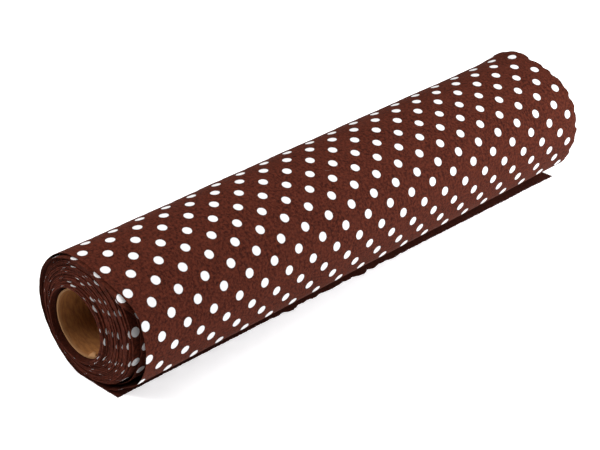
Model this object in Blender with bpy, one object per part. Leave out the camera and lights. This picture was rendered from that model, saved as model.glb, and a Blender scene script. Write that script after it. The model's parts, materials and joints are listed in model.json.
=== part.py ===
"""A roll of dotted wrapping paper on a cardboard core, lying on its side.

One long sheet is wound tightly on the core, then goes round twice more as loose turns. The
loose turns bulge on the -Y side, fold back under the roll, and the sheet's free edge shows
on the ground there. The roll's length is along X, +Z is up and the ground is z = 0.

The cross-section is drawn in millimetres as seen from the -X end. A clock angle starts
straight below the coil's centre and grows clockwise: 90 is the +Y side, 180 the top, 270 the
-Y side. The sheet is followed inwards, which is clockwise.
"""
import math

import bmesh
import bpy

# Driving dimensions, in millimetres and degrees.
SHEET_WIDTH = 490.0
SHEET_THICKNESS = 0.3
CLEARANCE = 0.3

CORE_BORE_RADIUS = 25.5
PLY_THICKNESS = 0.5
CORE_RECESS = 1.5
CORE_SEGMENTS = 64

TIGHT_TURNS = 16
STEPS_PER_TIGHT_TURN = 36
STEPS_PER_LOOSE_TURN = 72
FIRST_TURN_SLACK = 1.5
COIL_RADIUS = 49.25
CORE_OFF_CENTRE_Y = 9.6
CORE_OFF_CENTRE_Z = -7.0
FIRST_TURN_SHIFT_Y = 0.95
FIRST_TURN_SHIFT_Z = 0.1

# A loose turn is a circle about the coil's centre that swells between two clock angles and
# draws in again between others.
LOOSE_TURN_RADIUS = 50.2
LOOSE_TURN_BULGE = 6.8
LOOSE_TURN_SWELLS = (200, 235)
LOOSE_TURN_TUCK = 5.4
LOOSE_TURN_DRAWS_IN = (245, 295)
LOOSE_TURN_JOINS_COIL = (305, 345)
OUTER_TURN_RADIUS = 52.0
OUTER_TURN_BULGE = 8.1
OUTER_TURN_SWELLS = (192, 250)
OUTER_TURN_TUCK = 1.8
OUTER_TURN_DRAWS_IN = (260, 290)
OUTER_TURN_FLATTENING = 1.5
OUTER_TURN_FLATTENS = (300, 330)

# The fold under the roll, and the torn strip that shows outside it. Each of the strip's
# waves is how many there are along the edge, their height and where they start.
FOLD_BETWEEN = (300, 350)
CREASE_INSIDE_FOLD = 1.0
FREE_EDGE_NEAR = 1.5
FREE_EDGE_FAR = 10.4
FREE_EDGE_WAVES = ((3.7, 0.35, 0.0), (9.1, 0.25, 1.0), (20.8, 0.15, 0.0))
FREE_EDGE_STATIONS = 70

PAPER = (0.085, 0.024, 0.016)
PAPER_ROUGHNESS = 0.95
KRAFT = (0.42, 0.25, 0.12)
KRAFT_ROUGHNESS = 0.85
SHARP_EDGE_ANGLE = 30

# Heights of the sheet's middle surface where its turns lie on one another under the roll.
LAYER = SHEET_THICKNESS + CLEARANCE
OUTER_TURN_FLOOR = SHEET_THICKNESS / 2
LOOSE_TURN_FLOOR = OUTER_TURN_FLOOR + LAYER
COIL_FLOOR = LOOSE_TURN_FLOOR + LAYER

COIL_CENTRE_Z = COIL_FLOOR + COIL_RADIUS
CORE_OUTER_RADIUS = CORE_BORE_RADIUS + 2 * PLY_THICKNESS + CLEARANCE
FIRST_TURN_RADIUS = CORE_OUTER_RADIUS + FIRST_TURN_SLACK

MM = 0.001
HALVINGS = 40


def ease(value, between):
    """Rise smoothly from 0 to 1 between two values."""
    start, end = between
    share = min(max((value - start) / (end - start), 0.0), 1.0)
    return share * share * (3 - 2 * share)


def outer_turn_radius(clock):
    """The outermost turn: loose at the top, widest on the -Y side."""
    bulge = OUTER_TURN_BULGE * ease(clock, OUTER_TURN_SWELLS)
    tuck = OUTER_TURN_TUCK * ease(clock, OUTER_TURN_DRAWS_IN)
    flattening = OUTER_TURN_FLATTENING * ease(clock, OUTER_TURN_FLATTENS)
    return OUTER_TURN_RADIUS + bulge - tuck - flattening


def loose_turn_radius(clock):
    """The turn inside it, which comes back to the coil on the -Y side of the roll."""
    bulge = LOOSE_TURN_BULGE * ease(clock, LOOSE_TURN_SWELLS)
    tuck = LOOSE_TURN_TUCK * ease(clock, LOOSE_TURN_DRAWS_IN)
    before_coil = LOOSE_TURN_RADIUS + LOOSE_TURN_BULGE - LOOSE_TURN_TUCK
    to_coil = (before_coil - COIL_RADIUS) * ease(clock, LOOSE_TURN_JOINS_COIL)
    return LOOSE_TURN_RADIUS + bulge - tuck - to_coil


def at_clock(clock, radius, floor=0.0):
    """A point of the section round the coil's centre, no lower than the floor given."""
    angle = math.radians(clock)
    return (radius * math.sin(angle), max(COIL_CENTRE_Z - radius * math.cos(angle), floor))


def clock_range(start, end):
    """Clock angles from start to end in equal steps of about one station."""
    count = math.ceil((end - start) * STEPS_PER_LOOSE_TURN / 360)
    return [start + (end - start) * index / count for index in range(count + 1)]


def clock_where_flat(radius, height):
    """The clock angle below the coil at which a circle reaches a height over the ground."""
    return math.degrees(math.acos((COIL_CENTRE_Z - height) / radius))


def fold_clock(height):
    """The clock angle where the outermost turn comes down to a height on the -Y side."""
    low, high = FOLD_BETWEEN
    for _ in range(HALVINGS):
        middle = (low + high) / 2
        if at_clock(middle, outer_turn_radius(middle))[1] > height:
            low = middle
        else:
            high = middle
    return low


FOLD_CLOCK = fold_clock(LOOSE_TURN_FLOOR + LAYER)
FOLD_Y = at_clock(FOLD_CLOCK, outer_turn_radius(FOLD_CLOCK))[0] + CLEARANCE
CREASE_Y = FOLD_Y - CREASE_INSIDE_FOLD


def outer_turn_path():
    """From the crease on the ground, under the roll, round it and down to the fold."""
    leaves_ground = clock_where_flat(OUTER_TURN_RADIUS, OUTER_TURN_FLOOR)
    path = [(CREASE_Y + CLEARANCE / 2, OUTER_TURN_FLOOR), (0.0, OUTER_TURN_FLOOR)]
    for clock in clock_range(leaves_ground, FOLD_CLOCK):
        path.append(at_clock(clock, outer_turn_radius(clock), OUTER_TURN_FLOOR))
    return path


def loose_turn_path():
    """From the fold back under the roll, round it and in to the coil."""
    leaves_ground = clock_where_flat(LOOSE_TURN_RADIUS, LOOSE_TURN_FLOOR)
    join = 360 - math.degrees(CLEARANCE / COIL_RADIUS)
    path = [(FOLD_Y + SHEET_THICKNESS, LOOSE_TURN_FLOOR), (0.0, LOOSE_TURN_FLOOR)]
    for clock in clock_range(leaves_ground, join):
        path.append(at_clock(clock, loose_turn_radius(clock), LOOSE_TURN_FLOOR))
    return path


def coil_path():
    """The tight spiral, from its outside in to the first turn on the core.

    Each turn is nearly a circle. The circles' centres move from the core's centre to the
    coil's, since the turns are slacker above the core and on the -Y side.
    """
    steps = TIGHT_TURNS * STEPS_PER_TIGHT_TURN
    path = []
    for step in range(steps + 1):
        inwards = step / steps
        radius = COIL_RADIUS + (FIRST_TURN_RADIUS - COIL_RADIUS) * inwards
        y, z = at_clock(step * 360 / STEPS_PER_TIGHT_TURN, radius)
        shift_y = (CORE_OFF_CENTRE_Y + FIRST_TURN_SHIFT_Y) * inwards
        shift_z = (CORE_OFF_CENTRE_Z + FIRST_TURN_SHIFT_Z) * inwards
        path.append((y + shift_y, z + shift_z))
    return path


def sides_of(path):
    """The two faces of a sheet whose middle follows the path."""
    left, right = [], []
    for index, (y, z) in enumerate(path):
        before = path[max(index - 1, 0)]
        after = path[min(index + 1, len(path) - 1)]
        dy, dz = after[0] - before[0], after[1] - before[1]
        half = SHEET_THICKNESS / 2 / math.hypot(dy, dz)
        left.append((y - dz * half, z + dy * half))
        right.append((y + dz * half, z - dy * half))
    return left, right


def middle_y():
    """The Y of the middle of the whole section, which becomes y = 0."""
    across = [y for side in sides_of(outer_turn_path()) for y, _ in side]
    return (min(across) + max(across)) / 2


COIL_CENTRE_Y = -middle_y()


def paint(obj, colour, roughness):
    """Give the object its own plain material."""
    material = bpy.data.materials.new(obj.name)
    material.use_nodes = True
    shader = material.node_tree.nodes["Principled BSDF"]
    shader.inputs["Base Color"].default_value = (*colour, 1.0)
    shader.inputs["Roughness"].default_value = roughness
    shader.inputs["Metallic"].default_value = 0.0
    obj.data.materials.append(material)


def add_object(name, bm, y, z, colour, roughness):
    """Turn a mesh drawn in millimetres into a named object with its origin at (y, z)."""
    bmesh.ops.recalc_face_normals(bm, faces=bm.faces)
    bmesh.ops.translate(bm, verts=bm.verts, vec=(0.0, -y, -z))
    bmesh.ops.scale(bm, verts=bm.verts, vec=(MM, MM, MM))
    mesh = bpy.data.meshes.new(name)
    bm.to_mesh(mesh)
    bm.free()
    obj = bpy.data.objects.new(name, mesh)
    obj.location = (0.0, (y + COIL_CENTRE_Y) * MM, z * MM)
    bpy.context.collection.objects.link(obj)
    mesh.shade_smooth()
    mesh.set_sharp_from_angle(angle=math.radians(SHARP_EDGE_ANGLE))
    paint(obj, colour, roughness)
    return obj


def add_sheet(name, path):
    """A stretch of the sheet as a solid: its section carried along the whole width."""
    left, right = sides_of(path)
    bm = bmesh.new()
    rings = []
    for x in (-SHEET_WIDTH / 2, SHEET_WIDTH / 2):
        rings.append([[bm.verts.new((x, y, z)) for y, z in side] for side in (left, right)])
    (near_left, near_right), (far_left, far_right) = rings
    last = len(path) - 1
    for index in range(last):
        after = index + 1
        bm.faces.new((near_left[index], near_left[after], far_left[after], far_left[index]))
        bm.faces.new((near_right[after], near_right[index], far_right[index], far_right[after]))
        bm.faces.new((near_left[after], near_left[index], near_right[index], near_right[after]))
        bm.faces.new((far_left[index], far_left[after], far_right[after], far_right[index]))
    bm.faces.new((near_left[0], far_left[0], far_right[0], near_right[0]))
    bm.faces.new((near_left[last], near_right[last], far_right[last], far_left[last]))
    return add_object(name, bm, 0.0, COIL_CENTRE_Z, PAPER, PAPER_ROUGHNESS)


def free_edge_reach(along):
    """How far the torn free edge stands out from its crease, for a share of the width."""
    reach = FREE_EDGE_NEAR + (FREE_EDGE_FAR - FREE_EDGE_NEAR) * along
    for count, height, phase in FREE_EDGE_WAVES:
        reach += height * math.sin(2 * math.pi * count * along + phase)
    return reach


def add_free_edge():
    """The last strip of the sheet, flat on the ground outside the crease."""
    inner = CREASE_Y - CLEARANCE / 2
    bm = bmesh.new()
    stations = []
    for index in range(FREE_EDGE_STATIONS + 1):
        along = index / FREE_EDGE_STATIONS
        x = (along - 0.5) * SHEET_WIDTH
        outer = inner - free_edge_reach(along)
        corners = ((inner, 0.0), (outer, 0.0), (outer, SHEET_THICKNESS), (inner, SHEET_THICKNESS))
        stations.append([bm.verts.new((x, y, z)) for y, z in corners])
    for here, there in zip(stations, stations[1:]):
        for corner in range(4):
            after = (corner + 1) % 4
            bm.faces.new((here[corner], here[after], there[after], there[corner]))
    bm.faces.new(stations[0])
    bm.faces.new(stations[-1])
    return add_object("free_edge", bm, CREASE_Y, SHEET_THICKNESS / 2, PAPER, PAPER_ROUGHNESS)


def add_core_ply(name, inner_radius):
    """One ply of the core: a plain cardboard tube."""
    half = SHEET_WIDTH / 2 - CORE_RECESS
    bm = bmesh.new()
    corners = (
        (-half, inner_radius),
        (half, inner_radius),
        (half, inner_radius + PLY_THICKNESS),
        (-half, inner_radius + PLY_THICKNESS),
    )
    rings = []
    for segment in range(CORE_SEGMENTS):
        angle = 2 * math.pi * segment / CORE_SEGMENTS
        ring = []
        for x, radius in corners:
            y = CORE_OFF_CENTRE_Y + radius * math.sin(angle)
            z = COIL_CENTRE_Z + CORE_OFF_CENTRE_Z + radius * math.cos(angle)
            ring.append(bm.verts.new((x, y, z)))
        rings.append(ring)
    for segment, here in enumerate(rings):
        there = rings[(segment + 1) % CORE_SEGMENTS]
        for corner in range(4):
            after = (corner + 1) % 4
            bm.faces.new((here[corner], here[after], there[after], there[corner]))
    centre_z = COIL_CENTRE_Z + CORE_OFF_CENTRE_Z
    return add_object(name, bm, CORE_OFF_CENTRE_Y, centre_z, KRAFT, KRAFT_ROUGHNESS)


def main():
    """Clear the scene and build every piece of the roll."""
    for obj in list(bpy.data.objects):
        bpy.data.objects.remove(obj, do_unlink=True)
    add_core_ply("core_inner_ply", CORE_BORE_RADIUS)
    add_core_ply("core_outer_ply", CORE_BORE_RADIUS + PLY_THICKNESS + CLEARANCE)
    add_sheet("tight_coil", coil_path())
    add_sheet("loose_turn", loose_turn_path())
    add_sheet("outer_turn", outer_turn_path())
    add_free_edge()


main()
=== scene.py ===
"""Looks of the wrapping paper roll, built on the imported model."""

import json
import math
import random

import bpy
import numpy as np
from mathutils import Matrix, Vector


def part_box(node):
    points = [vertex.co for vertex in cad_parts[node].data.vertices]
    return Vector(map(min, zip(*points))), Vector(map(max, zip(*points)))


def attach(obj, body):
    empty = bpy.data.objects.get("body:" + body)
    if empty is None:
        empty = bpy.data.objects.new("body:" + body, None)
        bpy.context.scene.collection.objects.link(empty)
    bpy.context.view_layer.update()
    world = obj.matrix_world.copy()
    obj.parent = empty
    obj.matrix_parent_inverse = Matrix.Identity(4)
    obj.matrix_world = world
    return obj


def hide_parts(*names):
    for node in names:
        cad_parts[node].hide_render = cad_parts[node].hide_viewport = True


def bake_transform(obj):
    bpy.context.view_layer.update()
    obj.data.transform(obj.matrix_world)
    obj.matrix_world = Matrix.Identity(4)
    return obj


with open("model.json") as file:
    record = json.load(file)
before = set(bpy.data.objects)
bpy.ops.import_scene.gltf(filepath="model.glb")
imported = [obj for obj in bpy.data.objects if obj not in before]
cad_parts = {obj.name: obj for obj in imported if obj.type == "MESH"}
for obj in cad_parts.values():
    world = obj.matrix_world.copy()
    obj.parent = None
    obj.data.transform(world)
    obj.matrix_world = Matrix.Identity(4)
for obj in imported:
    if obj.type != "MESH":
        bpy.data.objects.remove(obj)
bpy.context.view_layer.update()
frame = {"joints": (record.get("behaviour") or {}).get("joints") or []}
MM = 0.001

# Places taken from the frame. Near is the -X end.
OUTER_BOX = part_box("outer_turn")
PLY_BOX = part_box("core_inner_ply")
OUTER_PLY_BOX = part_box("core_outer_ply")
EDGE_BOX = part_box("free_edge")
COIL_JOINT = next(joint for joint in frame["joints"] if joint["name"] == "coil_turn")
EDGE_JOINT = next(joint for joint in frame["joints"] if joint["name"] == "edge_lift")
SHEET_WIDTH = OUTER_BOX[1].x - OUTER_BOX[0].x
NEAR_X = OUTER_BOX[0].x
COIL_Y, COIL_Z = COIL_JOINT["pos_m"][1:]
CORE_Y = (PLY_BOX[0].y + PLY_BOX[1].y) / 2
CORE_Z = (PLY_BOX[0].z + PLY_BOX[1].z) / 2
CREASE_Y = EDGE_JOINT["pos_m"][1]
CORE_RADIUS = (OUTER_PLY_BOX[1].y - OUTER_PLY_BOX[0].y) / 2
BORE_RADIUS = (PLY_BOX[1].y - PLY_BOX[0].y) / 2 - 0.5 * MM
CORE_NEAR_X = PLY_BOX[0].x
CORE_FAR_X = PLY_BOX[1].x

# Places round the section are clock angles in degrees about the coil's centre: 0 at the
# bottom, 90 at the back, 180 at the top and 270 at the front. They grow by 360 with each turn.
# A change is (amount, start, end): an amount reached smoothly from one place to another. A hump
# is (amount, rise, fall): an amount with the stretches where it comes and goes.

# The sheet and its turns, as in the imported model.
SHEET_THICKNESS = 0.3 * MM
LAYER = 0.6 * MM
TIGHT_TURNS = 16
FIRST_TURN_RADIUS = CORE_RADIUS + 1.5 * MM
FIRST_TURN_SHIFT_Y = 0.95 * MM
FIRST_TURN_SHIFT_Z = 0.1 * MM
COIL_RADIUS = 49.25 * MM
LOOSE_TURN_RADIUS = 50.2 * MM
LOOSE_TURN_CHANGES = ((6.8 * MM, 200, 235), (-5.4 * MM, 245, 295))
LOOSE_TURN_JOINS_COIL = (305, 345)
OUTER_TURN_RADIUS = 52.0 * MM
OUTER_TURN_CHANGES = ((8.1 * MM, 192, 250), (-1.8 * MM, 260, 290), (-1.5 * MM, 300, 330))
FOLD_BETWEEN = (300, 350)
OUTER_FLOOR = SHEET_THICKNESS / 2
LOOSE_FLOOR = OUTER_FLOOR + LAYER
PAST_CREASE = 8.0 * MM

# How finely the sheet is drawn round the section and along the roll.
TIGHT_STEPS = 90
LOOSE_STEPS = 400
FOLD_SEARCH_STEPS = 2001
LOOSE_STEP = 2.0 * MM
CORNER_SOFTENING = 3
END_ROWS = np.array([0.0, 0.4, 1.0, 2.0, 4.0, 7.0, 11.0, 16.0]) * MM
OUTER_COLUMN_STEP = 5 * MM
LOOSE_COLUMN_STEP = 8 * MM
COIL_COLUMN_STEP = 60 * MM
SHARP_EDGE_ANGLE = math.radians(50)

# What the wound sheet's ends do: how far they stand out of the near end, and their shapes.
LOOSE_TURN_STARTS = 538
NEAR_REACH_CHANGES = (
    (2.9 * MM, 40, 175),
    (-3.9 * MM, 212, 246),
    (-1.4 * MM, 262, 285),
    (2.4 * MM, 318, 335),
    (5.8 * MM, 440, 500),
    (-8.4 * MM, 590, 606),
    (-1.6 * MM, 612, 650),
)
SLIDES_FROM = (340, 430)
REACH_MEETS_COIL = (690, 720)
COIL_REACH = 0.6 * MM
INNER_TURNS_REACH = (2.5 * MM, TIGHT_TURNS - 2.4, TIGHT_TURNS - 1.0)
FIRST_TURN_SET_BACK = 1.6 * MM
SET_BACK_ENDS = (0.8, 1.6)
COIL_REACH_WAVES = ((0.4 * MM, 2.32, 1.0), (0.3 * MM, 5.2, 0.0))
COIL_FILL = 0.78
NEAR_END_LENGTH = 42 * MM
NEAR_SAG = (-1.2 * MM, (160, 180), (205, 232))
NEAR_FLARE = (2.4 * MM, (228, 248), (282, 306))
FOLD_TUCK = (3.4 * MM, (300, 322), (334, 341))
FOLD_TUCK_LOST = 0.4
FOLD_TUCK_WHOLE_FOR = 60 * MM
FAR_END_LENGTH = 34 * MM
FAR_CROWN = (2.6 * MM, (120, 150), (172, 190))
RIPPLE = 0.2 * MM
RIPPLE_LENGTHS = (60 * MM, 140 * MM)
RIPPLE_FREE_BETWEEN = (3 * MM, 25 * MM)
NEAR_EDGE_WANDER = 0.25 * MM
FAR_EDGE_FUZZ = 0.35 * MM
FAR_LOBE_SIZE = 1.5 * MM
FAR_LOBE_LENGTH = 13 * MM
FAR_LOBE_VARIES_OVER = 31 * MM
FAR_LOBE_LEVEL = 0.75

# The torn edge: its width grows along the roll, and a stretch of it has bites torn out.
TORN_EDGE_START = 0.7 * MM
TORN_EDGE_SPARE = 1.2 * MM
TORN_EDGE_WIDENS = (-0.1, 1.25)
BITES_COME = (0.22, 0.34)
BITES_GO = (0.52, 0.66)
BITE_SIZE = 2.2 * MM
BITE_LEVEL = 0.8 * MM
TORN_EDGE_FUZZ = 0.2 * MM
TORN_EDGE_CURL = 0.5 * MM
TORN_EDGE_CURLS_FROM = 0.45
TORN_EDGE_COLUMNS = 620
CREASE_HALF_WIDTH = 0.5 * MM
FIBRE_COUNT = 120
FIBRE_RADIUS = 0.11 * MM
FIBRE_SHARES = (0.2, 0.995)
FIBRE_LENGTHS_MM = (0.8, 2.6)
FIBRE_HEADINGS = (-1.2, 1.2)
FIBRE_BENDS = (-0.9, 0.9)
STRAY_X = -28.0 * MM
STRAY_CLOCK = 205.0
STRAY_LENGTH = 5.0 * MM
STRAY_RADIUS = 0.16 * MM

# The print: dots in a square grid turned by 45 degrees, DOT_PITCH from corner to corner of its
# squares. A row clock is where a row of dots shows; out of sight between the turns the print
# slips a little. The mark of the printed side falls from 1 to 0 through the sheet, and the ink
# comes in between the two values of PRINTED_SIDE.
DOT_PITCH = 25.0 * MM
PRINTED_SIDE = (0.8, 0.9)
DOT_RADIUS = 3.6 * MM
DOT_BLUR = 0.15 * MM
DOT_FRAY = 0.25 * MM
FIRST_DOT_X = NEAR_X + 4.2 * MM
DOT_ROW_CLOCK = 251.5
LOOSE_ROW_CLOCK = 588.5
LOOSE_ROW_SETTLES = (345, 440)
LOOSE_PRINT_SLIP = (9.5 * MM, 592, 602)
COIL_ROW_CLOCK = 258.0
COIL_ROW_SETTLES = (0, 0.6)
COIL_PRINT_DRIFT = (0.6 * MM, 0.1, 0.8)

# The core's spiral seam, its rim and the flap torn up at the rim.
CORE_SEGMENTS = 128
CORE_ROWS = 160
SEAM_LEAD = 62 * MM
SEAM_WIDTH = 0.8 * MM
SEAM_DEPTH = 0.12 * MM
RIM_RAGGEDNESS = 0.18 * MM
RIM_BEVEL = 0.15 * MM
PLY_GROOVE_HALF_WIDTH = 0.16 * MM
PLY_GROOVE_HALF_FLOOR = 0.1 * MM
PLY_GROOVE_DEPTH = 0.7 * MM
FLAKE_WIDTH = 9.0 * MM
FLAKE_HEIGHT = 3.4 * MM
FLAKE_ANGLE = math.radians(-24)
FLAKE_THICKNESS = 0.25 * MM
FLAKE_COLUMNS = 25
FLAKE_ROWS = 7

# Colours and grain. Grain is in waves per metre.
PAPER_DARK = (0.016, 0.0028, 0.0014, 1.0)
PAPER_LIGHT = (0.094, 0.0200, 0.0105, 1.0)
PAPER_RED = (0.088, 0.0200, 0.0110, 1.0)
PAPER_PLAIN = (0.022, 0.0050, 0.0030, 1.0)
PAPER_FIBRE = (0.180, 0.065, 0.040, 1.0)
PAPER_SHEEN = (1.0, 0.55, 0.4, 1.0)
PAPER_RELIEF = 0.35 * MM
CLOUD_GRAIN = 45.0
MOTTLE_GRAIN = 420.0
FINE_GRAIN = 2600.0
FIBRE_GRAIN = 260.0
FRAY_GRAIN = 900.0
HAIR_GRAIN = 180.0
INK = (0.720, 0.720, 0.725, 1.0)
INK_SHADE = (0.640, 0.640, 0.640, 1.0)
KRAFT_DARK = (0.165, 0.058, 0.013, 1.0)
KRAFT_LIGHT = (0.300, 0.125, 0.034, 1.0)
KRAFT_WARM = (0.230, 0.085, 0.022, 1.0)
KRAFT_SPECK = (0.090, 0.032, 0.009, 1.0)
KRAFT_SEAM = (0.080, 0.030, 0.008, 1.0)
KRAFT_CUT = (0.300, 0.150, 0.060, 1.0)
KRAFT_RELIEF = 0.12 * MM
KRAFT_STREAKS = 160.0
KRAFT_BLOTCHES = 55.0
KRAFT_GRAIN = 1900.0
FLOOR_DARK = (0.93, 0.93, 0.93, 1.0)
FLOOR_LIGHT = (0.95, 0.95, 0.95, 1.0)
FLOOR_GRAIN = 6.0
FLOOR_GLOW = (0.98, 0.99, 1.0, 1.0)
FLOOR_GLOW_STRENGTH = 0.4

# The floor, the lamps and the camera. Angles of the camera are about the point it looks at.
FLOOR_HALF_SIZE = 6.0
FLOOR_DROP = 0.05 * MM
WARM_WHITE = (1.0, 0.99, 0.98)
COOL_WHITE = (0.97, 0.98, 1.0)
WORLD_STRENGTH = 0.1
CAMERA_AZIMUTH = math.radians(-45.42)
CAMERA_ELEVATION = math.radians(28.74)
CAMERA_DISTANCE = 1.362
CAMERA_TARGET = Vector((NEAR_X + 0.2230, CORE_Y, 0.0368))
CAMERA_LENS = 103.44
CAMERA_SENSOR = 36.0


# ---------------------------------------------------------------- the sheet's path

def ease(value, start, end):
    """Rise smoothly from 0 at start to 1 at end."""
    share = np.clip((value - start) / (end - start), 0.0, 1.0)
    return share * share * (3 - 2 * share)


def changed(place, changes):
    """The sum of some changes, each as far as it has come at a place."""
    return sum(amount * ease(place, start, end) for amount, start, end in changes)


def hump(place, shape):
    """A hump's height at a place."""
    amount, rise, fall = shape
    return amount * ease(place, *rise) * (1 - ease(place, *fall))


def outer_turn_radius(clock):
    """Radius of the outermost turn about the coil's centre."""
    return OUTER_TURN_RADIUS + changed(clock, OUTER_TURN_CHANGES)


def loose_turn_radius(clock):
    """Radius of the slack turn inside it, which ends at the coil."""
    before_coil = LOOSE_TURN_RADIUS + sum(amount for amount, _, _ in LOOSE_TURN_CHANGES)
    to_coil = (before_coil - COIL_RADIUS) * ease(clock, *LOOSE_TURN_JOINS_COIL)
    return LOOSE_TURN_RADIUS + changed(clock, LOOSE_TURN_CHANGES) - to_coil


def ring(clock, radius, floor):
    """Points (y, z) round the coil's centre, no lower than the floor given."""
    angle = np.radians(clock)
    z = np.maximum(COIL_Z - radius * np.cos(angle), floor)
    return np.stack([COIL_Y + radius * np.sin(angle), z], axis=-1)


def fold_clock():
    """The clock angle where the outermost turn comes down to the loose turn's layer."""
    clock = np.linspace(*FOLD_BETWEEN, FOLD_SEARCH_STEPS)
    height = COIL_Z - outer_turn_radius(clock) * np.cos(np.radians(clock))
    return float(clock[np.argmax(height < LOOSE_FLOOR)])


def resample(points, step):
    """The same line with its points spaced evenly, about step apart."""
    along = arc_lengths(points)
    wanted = np.linspace(0.0, along[-1], max(int(round(along[-1] / step)), 2) + 1)
    return np.stack([np.interp(wanted, along, points[:, k]) for k in (0, 1)], axis=-1)


def soften(points, passes):
    """Round off the corners of a line without moving its ends."""
    points = points.copy()
    for _ in range(passes):
        points[1:-1] = (points[:-2] + 2 * points[1:-1] + points[2:]) / 4
    return points


def loose_path():
    """The sheet from just inside the crease, round its outer and loose turns, to the coil."""
    outer = np.linspace(0, fold_clock(), LOOSE_STEPS)
    loose = np.linspace(0, 360, LOOSE_STEPS)
    start = np.array([[CREASE_Y + PAST_CREASE, OUTER_FLOOR], [COIL_Y, OUTER_FLOOR]])
    outer_part = ring(outer, outer_turn_radius(outer), OUTER_FLOOR)
    loose_part = ring(loose, loose_turn_radius(loose), LOOSE_FLOOR)
    loose_part[-1] = (COIL_Y, COIL_Z - COIL_RADIUS)
    points = resample(np.concatenate([start, outer_part, loose_part]), LOOSE_STEP)
    return soften(points, CORNER_SOFTENING)


def coil_path():
    """The tight spiral from its outside in, and each point's turn number."""
    turn = np.linspace(0, TIGHT_TURNS, TIGHT_TURNS * TIGHT_STEPS + 1)
    inwards = turn / TIGHT_TURNS
    radius = COIL_RADIUS + (FIRST_TURN_RADIUS - COIL_RADIUS) * inwards
    points = ring(turn * 360, radius, -1.0)
    points[:, 0] += (CORE_Y - COIL_Y + FIRST_TURN_SHIFT_Y) * inwards
    points[:, 1] += (CORE_Z - COIL_Z + FIRST_TURN_SHIFT_Z) * inwards
    return points, turn


def arc_lengths(points):
    """Distance along a line at each of its points."""
    return np.concatenate([[0.0], np.cumsum(np.hypot(*np.diff(points, axis=0).T))])


def clock_of(points):
    """The clock angle of points along the section, growing by 360 with each turn."""
    angle = np.arctan2(points[:, 0] - COIL_Y, COIL_Z - points[:, 1])
    return np.degrees(np.unwrap(angle))


# ---------------------------------------------------------------- mesh building

def outward(points):
    """Unit normals of a section line, on the printed side."""
    tangent = np.gradient(points, axis=0)
    normal = np.stack([tangent[:, 1], -tangent[:, 0]], axis=-1)
    return normal / np.hypot(*normal.T)[:, None]


def column_shares(middle_step):
    """Shares of the width at which a sheet gets a row of points: close together at both ends."""
    near = END_ROWS / SHEET_WIDTH
    count = int((1 - 2 * near[-1]) * SHEET_WIDTH / middle_step)
    middle = np.linspace(near[-1], 1 - near[-1], count + 1)
    return np.concatenate([near[:-1], middle, 1 - near[-2::-1]])


def grid_faces(rows, columns, first, flip):
    """Quads of a grid of points numbered row by row."""
    index = first + np.arange(rows * columns).reshape(rows, columns)
    a, b = index[:-1, :-1], index[1:, :-1]
    c, d = index[1:, 1:], index[:-1, 1:]
    quads = np.stack([a, d, c, b] if flip else [a, b, c, d], axis=-1)
    return quads.reshape(-1, 4)


def rim_faces(rows, columns):
    """Quads that close the edge between a sheet's two faces."""
    index = np.arange(rows * columns).reshape(rows, columns)
    loop = np.concatenate([index[0, :-1], index[:-1, -1], index[-1, :0:-1], index[:0:-1, 0]])
    after = np.roll(loop, -1)
    inner = rows * columns
    return np.stack([loop, after, after + inner, loop + inner], axis=-1)


def make_object(name, vertices, faces):
    """A smooth-shaded object from arrays of points and faces."""
    mesh = bpy.data.meshes.new(name)
    mesh.from_pydata(vertices.tolist(), [], faces.tolist())
    mesh.update()
    mesh.shade_smooth()
    mesh.set_sharp_from_angle(angle=SHARP_EDGE_ANGLE)
    obj = bpy.data.objects.new(name, mesh)
    bpy.context.scene.collection.objects.link(obj)
    return obj


def add_print(obj, values):
    """Store, for each point, its place on the flat sheet and 1 on the printed side."""
    attribute = obj.data.attributes.new("print", "FLOAT_VECTOR", "POINT")
    attribute.data.foreach_set("vector", values.astype(np.float32).ravel())


def sheet_object(name, middle, normal, place, thickness):
    """A thin closed sheet. middle, normal and place are rows x columns x 3, 3 and 2."""
    rows, columns = middle.shape[:2]
    half = normal * thickness / 2
    vertices = np.concatenate([(middle + half).reshape(-1, 3), (middle - half).reshape(-1, 3)])
    count = rows * columns
    faces = np.concatenate([
        grid_faces(rows, columns, 0, True),
        grid_faces(rows, columns, count, False),
        rim_faces(rows, columns),
    ])
    obj = make_object(name, vertices, faces)
    flat = place.reshape(-1, 2)
    printed = np.concatenate([np.ones(count), np.zeros(count)])
    add_print(obj, np.column_stack([np.concatenate([flat, flat]), printed]))
    return obj


def waves(a, b, seed, lengths):
    """Smooth wandering values around 0, of about unit size, from a few crossed waves."""
    chooser = random.Random(seed)
    total = np.zeros(np.broadcast(a, b).shape)
    for length in lengths:
        for _ in range(3):
            heading = chooser.uniform(0, math.pi)
            phase = chooser.uniform(0, 2 * math.pi)
            wave = length * chooser.uniform(0.7, 1.3)
            travel = a * math.cos(heading) + b * math.sin(heading)
            total = total + np.sin(2 * math.pi * travel / wave + phase)
    return total / (1.7 * math.sqrt(len(lengths)))


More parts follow.
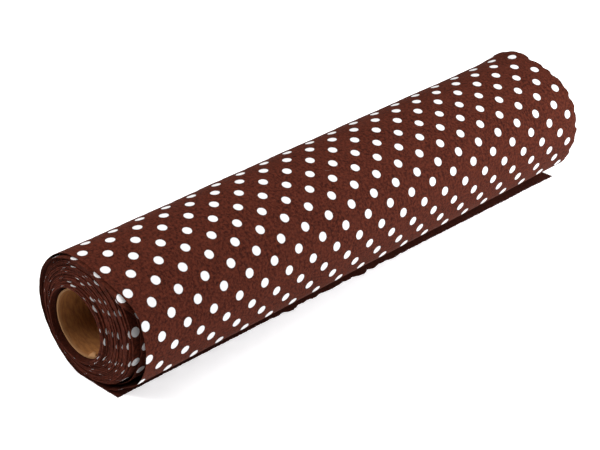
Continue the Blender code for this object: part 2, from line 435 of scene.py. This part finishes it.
def turn_sheet(name, points, along, reach, slid, middle_step, lift=None, thickness=None,
               drift=0.0):
    """A stretch of the wound sheet.

    along is the print distance at each section point, reach how far the sheet stands out of
    the near end there, and slid how much of that is the sheet having slid along the roll.
    lift(x) gives how far the sheet is off its path. drift is how much nearer the near edge
    the print lies.
    """
    shares = column_shares(middle_step)
    near = NEAR_X - reach + near_edge_wander(along)
    far = NEAR_X + SHEET_WIDTH - slid + far_edge_wander(along)
    x = near[:, None] + (far - near)[:, None] * shares[None, :]
    side = outward(points)
    normal = np.zeros((*x.shape, 3))
    normal[..., 1:] = side[:, None, :]
    middle = np.zeros((*x.shape, 3))
    middle[..., 0] = x
    middle[..., 1:] = points[:, None, :]
    if lift is not None:
        middle += normal * lift(x)[..., None]
    if thickness is None:
        thickness = np.full(len(points), SHEET_THICKNESS)
    place = np.zeros((*x.shape, 2))
    place[..., 0] = along[:, None]
    place[..., 1] = x + (slid + drift)[:, None] - FIRST_DOT_X
    return sheet_object(name, middle, normal, place, thickness[:, None, None])


def near_edge_wander(along):
    """The cut edge at the near end is straight to within a fraction of a millimetre."""
    return NEAR_EDGE_WANDER * waves(along, 0 * along, seed=11, lengths=(9 * MM, 30 * MM))


def far_edge_wander(along):
    """The far edge is a soft wavy deckle: rounded lobes with small bites between them."""
    phase = math.pi * along / FAR_LOBE_LENGTH + np.sin(along / FAR_LOBE_VARIES_OVER)
    fuzz = FAR_EDGE_FUZZ * waves(along, 0 * along, seed=12, lengths=(4 * MM, 19 * MM))
    return FAR_LOBE_SIZE * (np.abs(np.sin(phase)) - FAR_LOBE_LEVEL) + fuzz


def outer_turn_lift(points):
    """The outermost turn's shape off its path: a slight waviness, and its loose ends."""
    clock = clock_of(points)[:, None]
    height = points[:, 1][:, None]
    along = arc_lengths(points)[:, None]
    free = ease(height, *RIPPLE_FREE_BETWEEN)
    near_shape = hump(clock, NEAR_SAG) + hump(clock, NEAR_FLARE)
    tuck = hump(clock, FOLD_TUCK)
    crown = hump(clock, FAR_CROWN)

    def lift(x):
        ripple = RIPPLE * free * waves(x, along, seed=5, lengths=RIPPLE_LENGTHS)
        near = 1 - ease(x, NEAR_X, NEAR_X + NEAR_END_LENGTH)
        lost = FOLD_TUCK_LOST * ease(x, NEAR_X + FOLD_TUCK_WHOLE_FOR, NEAR_X + SHEET_WIDTH)
        far = ease(x, NEAR_X + SHEET_WIDTH - FAR_END_LENGTH, NEAR_X + SHEET_WIDTH) ** 2
        return ripple + near * near_shape - (1 - lost) * tuck + far * crown

    return lift


# ---------------------------------------------------------------- materials

class Nodes:
    """A short way to write a material's node tree."""

    def __init__(self, name):
        self.material = bpy.data.materials.new(name)
        self.material.use_nodes = True
        self.tree = self.material.node_tree
        self.shader = self.tree.nodes["Principled BSDF"]

    def add(self, kind, settings=None, **inputs):
        """Add a node. Inputs are given by name with _ for spaces; a socket is linked."""
        node = self.tree.nodes.new(kind)
        for key, value in (settings or {}).items():
            setattr(node, key, value)
        for key, value in inputs.items():
            self.put(node.inputs[key.replace("_", " ")], value)
        return node

    def put(self, socket, value):
        """Link a socket to another, or set its value."""
        if isinstance(value, bpy.types.NodeSocket):
            self.tree.links.new(value, socket)
        else:
            socket.default_value = value

    def math(self, operation, a, b=0.0, c=0.0):
        """One step of arithmetic; returns its output."""
        node = self.tree.nodes.new("ShaderNodeMath")
        node.operation = operation
        for socket, value in zip(node.inputs, (a, b, c)):
            self.put(socket, value)
        return node.outputs[0]

    def noise(self, scale, detail, roughness=0.6, vector=None):
        """Noise with scale in waves per metre, in object space unless a vector is given."""
        node = self.add("ShaderNodeTexNoise", Scale=scale, Detail=detail, Roughness=roughness)
        self.put(node.inputs["Vector"], vector or self.place())
        return node.outputs["Fac"]

    def place(self):
        """Object coordinates."""
        return self.add("ShaderNodeTexCoord").outputs["Object"]

    def stretched(self, vector, scale, turn):
        """Coordinates turned about Z and scaled, to draw streaks."""
        node = self.add("ShaderNodeMapping", Scale=scale, Rotation=(0.0, 0.0, turn))
        self.put(node.inputs["Vector"], vector)
        return node.outputs[0]

    def between(self, value, low, high, to_low=0.0, to_high=1.0):
        """Map a value smoothly from one range to another."""
        node = self.add("ShaderNodeMapRange", {"interpolation_type": "SMOOTHSTEP"})
        for socket, number in zip(node.inputs, (value, low, high, to_low, to_high)):
            self.put(socket, number)
        return node.outputs[0]

    def mix(self, share, first, second):
        """Mix two colours."""
        node = self.add("ShaderNodeMix", {"data_type": "RGBA"})
        self.put(node.inputs[0], share)
        self.put(node.inputs[6], first)
        self.put(node.inputs[7], second)
        return node.outputs[2]

    def bump(self, height, distance):
        """Make the surface rise and fall by height times distance, in metres."""
        node = self.add("ShaderNodeBump", Height=height, Distance=distance, Strength=1.0)
        self.put(self.shader.inputs["Normal"], node.outputs[0])


def dot_mask(nodes, flat, side):
    """1 inside a printed dot, 0 outside, only on the printed face."""
    split = nodes.add("ShaderNodeSeparateXYZ", Vector=flat)
    wobble = nodes.noise(FRAY_GRAIN, detail=2.0, vector=flat)
    fray = nodes.math("MULTIPLY_ADD", wobble, 2 * DOT_FRAY, -DOT_FRAY)
    distances = []
    for offset in (0.0, DOT_PITCH / 2):
        parts = []
        for axis in ("X", "Y"):
            moved = nodes.math("ADD", split.outputs[axis], offset)
            local = nodes.math("WRAP", moved, DOT_PITCH / 2, -DOT_PITCH / 2)
            parts.append(nodes.math("MULTIPLY", local, local))
        distances.append(nodes.math("SQRT", nodes.math("ADD", *parts)))
    nearest = nodes.math("ADD", nodes.math("MINIMUM", *distances), fray)
    inside = nodes.between(nearest, DOT_RADIUS + DOT_BLUR, DOT_RADIUS - DOT_BLUR)
    return nodes.math("MULTIPLY", inside, nodes.between(side, *PRINTED_SIDE))


def fibre_marks(nodes, vector, density):
    """Short pale fibres lying every way in the sheet."""
    total = None
    for turn in (0.3, 1.4, 2.5):
        streak = nodes.stretched(vector, (1.0, 9.0, 1.0), turn)
        line = nodes.between(nodes.noise(density, detail=2.0, vector=streak), 0.62, 0.74)
        total = line if total is None else nodes.math("MAXIMUM", total, line)
    return total


def paper_material():
    """Dark brown fibrous paper, printed with white dots on its outer face."""
    nodes = Nodes("felted_paper")
    attribute = nodes.add("ShaderNodeAttribute", {"attribute_name": "print"})
    split = nodes.add("ShaderNodeSeparateXYZ", Vector=attribute.outputs["Vector"])
    flat = nodes.add("ShaderNodeCombineXYZ", X=split.outputs["X"], Y=split.outputs["Y"]).outputs[0]
    clouds = nodes.noise(CLOUD_GRAIN, detail=4.0, roughness=0.65, vector=flat)
    mottle = nodes.noise(MOTTLE_GRAIN, detail=4.0, roughness=0.7, vector=flat)
    grain = nodes.noise(FINE_GRAIN, detail=3.0, roughness=0.7, vector=flat)
    fibres = fibre_marks(nodes, flat, FIBRE_GRAIN)
    brown = nodes.mix(nodes.between(mottle, 0.3, 0.72), PAPER_DARK, PAPER_LIGHT)
    brown = nodes.mix(nodes.between(clouds, 0.35, 0.7, 0.0, 0.3), brown, PAPER_RED)
    brown = nodes.mix(nodes.math("MULTIPLY", fibres, 0.22), brown, PAPER_FIBRE)
    plain = nodes.between(split.outputs["Z"], 0.0, 0.9, 0.5, 0.0)
    brown = nodes.mix(plain, brown, PAPER_PLAIN)
    ink = nodes.mix(nodes.between(grain, 0.3, 0.75), INK, INK_SHADE)
    dots = dot_mask(nodes, flat, split.outputs["Z"])
    nodes.put(nodes.shader.inputs["Base Color"], nodes.mix(dots, brown, ink))
    rough = nodes.between(mottle, 0.3, 0.7, 0.86, 0.98)
    nodes.put(nodes.shader.inputs["Roughness"], rough)
    nodes.shader.inputs["Specular IOR Level"].default_value = 0.05
    nodes.shader.inputs["Sheen Weight"].default_value = 0.02
    nodes.shader.inputs["Sheen Roughness"].default_value = 0.3
    nodes.shader.inputs["Sheen Tint"].default_value = PAPER_SHEEN
    felt = nodes.math("MULTIPLY", mottle, 0.8)
    felt = nodes.math("ADD", felt, nodes.math("MULTIPLY", grain, 0.35))
    felt = nodes.math("ADD", felt, nodes.math("MULTIPLY", fibres, 0.25))
    nodes.bump(felt, PAPER_RELIEF)
    return nodes.material


def kraft_material():
    """Brown core board with slanted streaks, a dark spiral seam and paler cut ends."""
    nodes = Nodes("kraft_board")
    place = nodes.place()
    round_core = nodes.add("ShaderNodeAttribute", {"attribute_name": "wrap"}).outputs["Vector"]
    slanted = nodes.stretched(round_core, (1.0, 3.0, 1.0), 0.5)
    streaks = nodes.noise(KRAFT_STREAKS, detail=4.0, vector=slanted)
    blotch = nodes.noise(KRAFT_BLOTCHES, detail=3.0, vector=place)
    grain = nodes.noise(KRAFT_GRAIN, detail=4.0, roughness=0.75, vector=place)
    tan = nodes.mix(nodes.between(streaks, 0.3, 0.7), KRAFT_DARK, KRAFT_LIGHT)
    tan = nodes.mix(nodes.between(blotch, 0.35, 0.7, 0.0, 0.35), tan, KRAFT_WARM)
    tan = nodes.mix(nodes.between(grain, 0.58, 0.75, 0.0, 0.35), tan, KRAFT_SPECK)
    split = nodes.add("ShaderNodeSeparateXYZ", Vector=round_core)
    seam = nodes.between(split.outputs["Z"], 0.0, 1.0, 0.0, 0.45)
    tan = nodes.mix(seam, tan, KRAFT_SEAM)
    cut = nodes.add("ShaderNodeAttribute", {"attribute_name": "cut"}).outputs["Fac"]
    nodes.put(nodes.shader.inputs["Base Color"], nodes.mix(cut, tan, KRAFT_CUT))
    nodes.put(nodes.shader.inputs["Roughness"], nodes.between(streaks, 0.3, 0.7, 0.72, 0.9))
    nodes.shader.inputs["Specular IOR Level"].default_value = 0.3
    nodes.bump(nodes.math("ADD", nodes.math("MULTIPLY", streaks, 0.6), grain), KRAFT_RELIEF)
    return nodes.material


def fibre_material():
    """Loose hairs, from the paper's own brown to pale."""
    nodes = Nodes("loose_fibres")
    hue = nodes.noise(HAIR_GRAIN, detail=1.0)
    nodes.put(nodes.shader.inputs["Base Color"],
              nodes.mix(nodes.between(hue, 0.35, 0.65), PAPER_LIGHT, PAPER_FIBRE))
    nodes.shader.inputs["Roughness"].default_value = 0.9
    nodes.shader.inputs["Sheen Weight"].default_value = 0.3
    return nodes.material


def floor_material():
    """A plain pale table top."""
    nodes = Nodes("pale_floor")
    tone = nodes.noise(FLOOR_GRAIN, detail=2.0)
    nodes.put(nodes.shader.inputs["Base Color"], nodes.mix(tone, FLOOR_DARK, FLOOR_LIGHT))
    nodes.shader.inputs["Roughness"].default_value = 0.9
    nodes.shader.inputs["Specular IOR Level"].default_value = 0.1
    nodes.shader.inputs["Emission Color"].default_value = FLOOR_GLOW
    nodes.shader.inputs["Emission Strength"].default_value = FLOOR_GLOW_STRENGTH
    return nodes.material


# ---------------------------------------------------------------- pieces

def at_clock(wanted, clock, along):
    """The distance along the sheet at a clock angle."""
    return float(np.interp(wanted, clock, along))


def lateness(at_row):
    """How far a print distance is past the nearest row of dots."""
    return (at_row + DOT_PITCH / 2) % DOT_PITCH - DOT_PITCH / 2


def coil_near_reach(turn):
    """How far each tight turn stands out of the near end: the innermost ones most."""
    wander = sum(size * np.sin(pace * turn + phase) for size, pace, phase in COIL_REACH_WAVES)
    set_back = FIRST_TURN_SET_BACK * (1 - ease(turn, *SET_BACK_ENDS))
    return COIL_REACH + changed(turn, [INNER_TURNS_REACH]) + wander - set_back


def coil_thickness(turn):
    """The fluffy paper fills most of the room between one tight turn and the next."""
    angle = 2 * math.pi * turn
    shift_y = (CORE_Y - COIL_Y + FIRST_TURN_SHIFT_Y) / TIGHT_TURNS
    shift_z = (CORE_Z - COIL_Z + FIRST_TURN_SHIFT_Z) / TIGHT_TURNS
    room = (COIL_RADIUS - FIRST_TURN_RADIUS) / TIGHT_TURNS
    room = room - shift_y * np.sin(angle) + shift_z * np.cos(angle)
    full = np.maximum(COIL_FILL * room, SHEET_THICKNESS)
    return SHEET_THICKNESS + (full - SHEET_THICKNESS) * ease(turn, 0, 0.5)


def near_reach(clock):
    """How far the two loose turns stand out of the near end.

    The outermost turn's edge is askew, out at the top and back low down. The loose turn has
    slid out beyond it at the top.
    """
    return changed(clock, NEAR_REACH_CHANGES)


def print_distances(clock, along, turn, coil_along):
    """Distance along the print at each point of the loose path and of the coil."""
    start = at_clock(DOT_ROW_CLOCK, clock, along)
    printed = along - start
    late = lateness(at_clock(LOOSE_ROW_CLOCK, clock, along) - start)
    printed = printed - late * ease(clock, *LOOSE_ROW_SETTLES)
    printed = printed + changed(clock, [LOOSE_PRINT_SLIP])
    coil_printed = coil_along - coil_along[0] + printed[-1]
    late = lateness(np.interp(COIL_ROW_CLOCK / 360, turn, coil_printed))
    return printed, coil_printed - late * ease(turn, *COIL_ROW_SETTLES), start


def finish_sheet(obj, paper):
    """Paint a stretch of the sheet."""
    obj.data.materials.append(paper)


def build_sheet(paper):
    """The pieces of the wound sheet, cut where one body moves on the next.

    Returns how far along the sheet its print starts.
    """
    points = loose_path()
    along = arc_lengths(points)
    length = along[-1]
    clock = clock_of(points)
    coil_points, turn = coil_path()
    coil_along = length + arc_lengths(coil_points)
    printed, coil_printed, start = print_distances(clock, along, turn, coil_along)

    coil_reach = coil_near_reach(turn)
    reach = near_reach(clock)
    reach = reach + (coil_reach[0] - reach[-1]) * ease(clock, *REACH_MEETS_COIL)
    slid = reach * ease(clock, *SLIDES_FROM)

    top = np.argmax(clock > LOOSE_TURN_STARTS)
    outer = slice(0, top + 1)
    outer_turn = turn_sheet("paper_outer_turn", points[outer], printed[outer], reach[outer],
                            slid[outer], OUTER_COLUMN_STEP, lift=outer_turn_lift(points[outer]))
    loose = slice(top, None)
    loose_turn = turn_sheet("paper_loose_turn", points[loose], printed[loose], reach[loose],
                            slid[loose], LOOSE_COLUMN_STEP)
    coil = turn_sheet("paper_coil", coil_points, coil_printed, coil_reach, coil_reach,
                      COIL_COLUMN_STEP, thickness=coil_thickness(turn),
                      drift=changed(turn, [COIL_PRINT_DRIFT]))
    finish_sheet(outer_turn, paper)
    finish_sheet(loose_turn, paper)
    finish_sheet(coil, paper)

    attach(outer_turn, "outer_wrap")
    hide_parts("outer_turn")
    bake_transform(loose_turn)
    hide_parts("loose_turn")
    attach(coil, "coil")
    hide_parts("tight_coil")
    return start


def torn_reach(x):
    """How far the torn edge stands out from the crease at each x."""
    share = (x - NEAR_X) / SHEET_WIDTH
    widest = CREASE_Y - EDGE_BOX[0].y - TORN_EDGE_SPARE
    widening = ease(share, *TORN_EDGE_WIDENS) / ease(1.0, *TORN_EDGE_WIDENS)
    torn = ease(share, *BITES_COME) * (1 - ease(share, *BITES_GO))
    bites = np.abs(waves(x, 0 * x, seed=24, lengths=(34 * MM, 17 * MM)))
    fuzz = TORN_EDGE_FUZZ * waves(x, 0 * x, seed=22, lengths=(6 * MM, 2.6 * MM))
    return TORN_EDGE_START + widest * widening + torn * (BITE_SIZE * bites - BITE_LEVEL) + fuzz


def build_free_edge(paper, start):
    """The torn last strip of the sheet, flat on the ground, and a little of it past the crease."""
    x = np.linspace(NEAR_X, NEAR_X + SHEET_WIDTH, TORN_EDGE_COLUMNS)
    reach = torn_reach(x)
    shares = np.array([0.0, 0.04, 0.12, 0.3, 0.6, 0.9])
    outside = -reach[None, :] * (1 - shares)[:, None]
    inside = np.array([-CREASE_HALF_WIDTH, 0.0, CREASE_HALF_WIDTH, 2.0 * MM, PAST_CREASE])
    across = np.concatenate([outside, inside[:, None] + 0 * x])
    rows, columns = across.shape
    middle = np.zeros((rows, columns, 3))
    middle[..., 0] = x[None, :]
    middle[..., 1] = CREASE_Y + across
    curl = ease(-across, TORN_EDGE_CURLS_FROM * reach.max(), reach.max())
    flutter = 0.5 + 0.5 * waves(x, 0 * x, seed=23, lengths=(45 * MM, 17 * MM))
    middle[..., 2] = OUTER_FLOOR + TORN_EDGE_CURL * curl * np.clip(flutter, 0, 1)[None, :]
    normal = np.zeros_like(middle)
    normal[..., 2] = -1.0
    place = np.stack([across - PAST_CREASE - start, middle[..., 0] - FIRST_DOT_X], axis=-1)
    obj = sheet_object("paper_free_edge", middle, normal, place, SHEET_THICKNESS)
    obj.data.materials.append(paper)
    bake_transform(obj)
    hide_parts("free_edge")


def build_core(kraft):
    """The spiral-wound core: its wall with two plies showing at the rim."""
    profile = core_profile()
    rows = len(profile)
    angle = np.linspace(0, 2 * math.pi, CORE_SEGMENTS, endpoint=False)
    tear = waves(angle * BORE_RADIUS, 0 * angle, seed=31, lengths=(9 * MM, 3.5 * MM))
    vertices = np.zeros((rows, CORE_SEGMENTS, 3))
    wrap = np.zeros((rows, CORE_SEGMENTS, 3))
    for row, (x, radius, rim) in enumerate(profile):
        turn = np.mod(angle / (2 * math.pi) + x / SEAM_LEAD, 1.0)
        from_seam = np.minimum(turn, 1 - turn) * 2 * math.pi * BORE_RADIUS
        seam = np.exp(-((from_seam / SEAM_WIDTH) ** 2))
        into_wall = 1 if radius < BORE_RADIUS + MM else -1
        size = radius + SEAM_DEPTH * seam * into_wall
        vertices[row, :, 0] = x + rim * RIM_RAGGEDNESS * tear
        vertices[row, :, 1] = CORE_Y + size * np.sin(angle)
        vertices[row, :, 2] = CORE_Z + size * np.cos(angle)
        wrap[row, :, 0] = angle * BORE_RADIUS
        wrap[row, :, 1] = x
        wrap[row, :, 2] = seam
    index = np.arange(rows * CORE_SEGMENTS).reshape(rows, CORE_SEGMENTS)
    right = np.roll(index, -1, axis=1)
    below = np.roll(index, -1, axis=0)
    below_right = np.roll(right, -1, axis=0)
    faces = np.stack([index, right, below_right, below], axis=-1).reshape(-1, 4)
    obj = make_object("core_board", vertices.reshape(-1, 3), faces)
    attribute = obj.data.attributes.new("wrap", "FLOAT_VECTOR", "POINT")
    attribute.data.foreach_set("vector", wrap.astype(np.float32).ravel())
    add_cut(obj, np.repeat([rim for _, _, rim in profile], CORE_SEGMENTS))
    obj.data.materials.append(kraft)
    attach(obj, "core")
    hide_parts("core_inner_ply", "core_outer_ply")


def add_cut(obj, values):
    """Store 1 for each point on a cut or torn edge of the board and 0 elsewhere."""
    attribute = obj.data.attributes.new("cut", "FLOAT", "POINT")
    attribute.data.foreach_set("value", np.asarray(values, np.float32))


def build_flake(kraft):
    """A flap of the inner ply torn up at the bottom of the near rim."""
    across = np.linspace(-1, 1, FLAKE_COLUMNS)
    up = np.linspace(0, 1, FLAKE_ROWS)
    a, b = np.meshgrid(across, up)
    ragged = 1 + 0.25 * waves(across * FLAKE_WIDTH, 0 * across, seed=41, lengths=(5 * MM, 2 * MM))
    tall = FLAKE_HEIGHT * np.sqrt(np.clip(1 - across ** 2, 0, 1)) * ragged
    radius = BORE_RADIUS - 0.1 * MM - b * tall * np.cos(0.9 * b)
    angle = FLAKE_ANGLE + a * FLAKE_WIDTH / 2 / BORE_RADIUS
    middle = np.zeros((*a.shape, 3))
    middle[..., 0] = CORE_NEAR_X + 0.4 * MM + 0.8 * b * tall * np.sin(0.6 + b)
    middle[..., 1] = CORE_Y + radius * np.sin(angle)
    middle[..., 2] = CORE_Z - radius * np.cos(angle)
    normal = np.zeros_like(middle)
    normal[..., 0] = -1.0
    obj = sheet_object("core_torn_flake", middle, normal, middle[..., :2], FLAKE_THICKNESS)
    add_cut(obj, np.ones(len(obj.data.vertices)))
    obj.data.materials.append(kraft)
    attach(obj, "core")


def hair(points, radius):
    """The points and faces of a thin three-sided hair along a line of points."""
    sides = 3
    vertices, faces = [], []
    for index, point in enumerate(points):
        taper = radius * (1 - 0.6 * index / (len(points) - 1))
        for side in range(sides):
            angle = 2 * math.pi * side / sides
            offset = (0.5 * math.sin(angle), math.cos(angle), math.sin(angle))
            vertices.append([p + taper * o for p, o in zip(point, offset)])
    for ring_index in range(len(points) - 1):
        for side in range(sides):
            here = ring_index * sides + side
            after = ring_index * sides + (side + 1) % sides
            faces.append((here, after, after + sides, here + sides))
    faces.append((2, 1, 0))
    last = (len(points) - 1) * sides
    faces.append((last, last + 1, last + 2))
    return vertices, faces


def hairs_object(name, lines, radius, material, body):
    """Many hairs as one piece."""
    vertices, faces = [], []
    for line in lines:
        new_vertices, new_faces = hair(line, radius)
        first = len(vertices)
        vertices += new_vertices
        faces += [tuple(first + index for index in face) for face in new_faces]
    mesh = bpy.data.meshes.new(name)
    mesh.from_pydata(vertices, [], faces)
    obj = bpy.data.objects.new(name, mesh)
    bpy.context.scene.collection.objects.link(obj)
    mesh.materials.append(material)
    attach(obj, body)


def build_fibres(material):
    """Hairs along the torn edge."""
    chooser = random.Random(51)
    lines = []
    for _ in range(FIBRE_COUNT):
        x = NEAR_X + SHEET_WIDTH * chooser.uniform(*FIBRE_SHARES)
        start = CREASE_Y - float(torn_reach(np.array([x]))[0]) + 0.4 * MM
        length = chooser.uniform(*FIBRE_LENGTHS_MM) * MM
        heading = chooser.uniform(*FIBRE_HEADINGS)
        bend = chooser.uniform(*FIBRE_BENDS)
        line = []
        for step in range(5):
            share = step / 4
            aim = heading + bend * share
            line.append((x + length * share * math.sin(aim),
                         start - length * share * math.cos(aim),
                         OUTER_FLOOR + 0.15 * MM + 0.3 * MM * share * chooser.random()))
        lines.append(line)
    hairs_object("paper_edge_fibres", lines, FIBRE_RADIUS, material, "edge_strip")


def build_stray_fibre(material):
    """One pale fibre caught on the outermost turn, just in front of its top."""
    line = []
    for step in range(7):
        share = step / 6
        clock = np.array([STRAY_CLOCK + 2.2 * math.sin(2.4 * share)])
        radius = outer_turn_radius(clock) + 0.35 * MM
        y, z = ring(clock, radius, OUTER_FLOOR)[0]
        line.append((STRAY_X + STRAY_LENGTH * share, float(y), float(z)))
    hairs_object("paper_stray_fibre", [line], STRAY_RADIUS, material, "outer_wrap")


def core_profile():
    """(x, radius, rim share) round the wall's section: bore, far rim, outside, near rim."""
    inside = np.linspace(CORE_NEAR_X, CORE_FAR_X, CORE_ROWS)
    profile = []
    for x in inside:
        at_rim = 1.0 if x in (inside[0], inside[-1]) else 0.0
        profile.append((x, BORE_RADIUS, at_rim))
    profile += rim_profile(CORE_FAR_X, -1)
    profile += [(x, CORE_RADIUS, 0.0) for x in inside[::-1]]
    profile += rim_profile(CORE_NEAR_X, 1)[::-1]
    return profile


def rim_profile(end, inward):
    """(x, radius, rim share) across one rim, from the bore out, with a groove between the plies."""
    groove = (BORE_RADIUS + CORE_RADIUS) / 2
    floor = end + inward * PLY_GROOVE_DEPTH
    return [
        (end, BORE_RADIUS + RIM_BEVEL, 1.0),
        (end, groove - PLY_GROOVE_HALF_WIDTH, 1.0),
        (floor, groove - PLY_GROOVE_HALF_FLOOR, 0.0),
        (floor, groove + PLY_GROOVE_HALF_FLOOR, 0.0),
        (end, groove + PLY_GROOVE_HALF_WIDTH, 1.0),
        (end, CORE_RADIUS - RIM_BEVEL, 1.0),
    ]


# ---------------------------------------------------------------- light and camera

def build_floor():
    """A plain pale floor that isn't part of the object."""
    mesh = bpy.data.meshes.new("floor")
    half = FLOOR_HALF_SIZE
    corners = [(-half, -half, 0), (half, -half, 0), (half, half, 0), (-half, half, 0)]
    mesh.from_pydata(corners, [], [(0, 1, 2, 3)])
    obj = bpy.data.objects.new("floor", mesh)
    obj.location.z = -FLOOR_DROP
    bpy.context.scene.collection.objects.link(obj)
    mesh.materials.append(floor_material())


def add_softbox(name, place, size, power, colour):
    """A large soft lamp aimed at the middle of the roll."""
    data = bpy.data.lights.new(name, "AREA")
    data.shape = "RECTANGLE"
    data.size, data.size_y = size
    data.energy = power
    data.color = colour
    obj = bpy.data.objects.new(name, data)
    obj.location = place
    aim = Vector((0, 0, COIL_Z)) - Vector(place)
    obj.rotation_euler = aim.to_track_quat("-Z", "Y").to_euler()
    bpy.context.scene.collection.objects.link(obj)


def build_light():
    """Soft white studio light: from above, from the right, and into the near end."""
    world = bpy.data.worlds.new("studio")
    bpy.context.scene.world = world
    world.use_nodes = True
    background = world.node_tree.nodes["Background"]
    background.inputs["Color"].default_value = (1.0, 1.0, 1.0, 1.0)
    background.inputs["Strength"].default_value = WORLD_STRENGTH
    add_softbox("overhead", place=(-0.1, 0.15, 1.35), size=(1.7, 1.4), power=15.0,
                colour=WARM_WHITE)
    add_softbox("side_fill", place=(0.75, -0.7, 0.40), size=(0.8, 0.6), power=19.0,
                colour=COOL_WHITE)
    add_softbox("near_fill", place=(-1.0, 0.6, 0.9), size=(0.7, 0.7), power=15.0,
                colour=WARM_WHITE)
    bpy.context.scene.view_settings.view_transform = "Standard"


def build_camera():
    """The camera, above and to the left of the near end."""
    back = Vector((
        math.sin(CAMERA_AZIMUTH) * math.cos(CAMERA_ELEVATION),
        -math.cos(CAMERA_AZIMUTH) * math.cos(CAMERA_ELEVATION),
        math.sin(CAMERA_ELEVATION),
    ))
    data = bpy.data.cameras.new("camera")
    data.lens = CAMERA_LENS
    data.sensor_width = CAMERA_SENSOR
    camera = bpy.data.objects.new("camera", data)
    camera.location = CAMERA_TARGET + back * CAMERA_DISTANCE
    camera.rotation_euler = (-back).to_track_quat("-Z", "Y").to_euler()
    bpy.context.scene.collection.objects.link(camera)
    bpy.context.scene.camera = camera


build_camera()
build_light()
build_floor()
PAPER_MATERIAL = paper_material()
PRINT_START = build_sheet(PAPER_MATERIAL)
build_free_edge(PAPER_MATERIAL, PRINT_START)
KRAFT_MATERIAL = kraft_material()
build_core(KRAFT_MATERIAL)
build_flake(KRAFT_MATERIAL)
FIBRE_MATERIAL = fibre_material()
build_fibres(FIBRE_MATERIAL)
build_stray_fibre(FIBRE_MATERIAL)
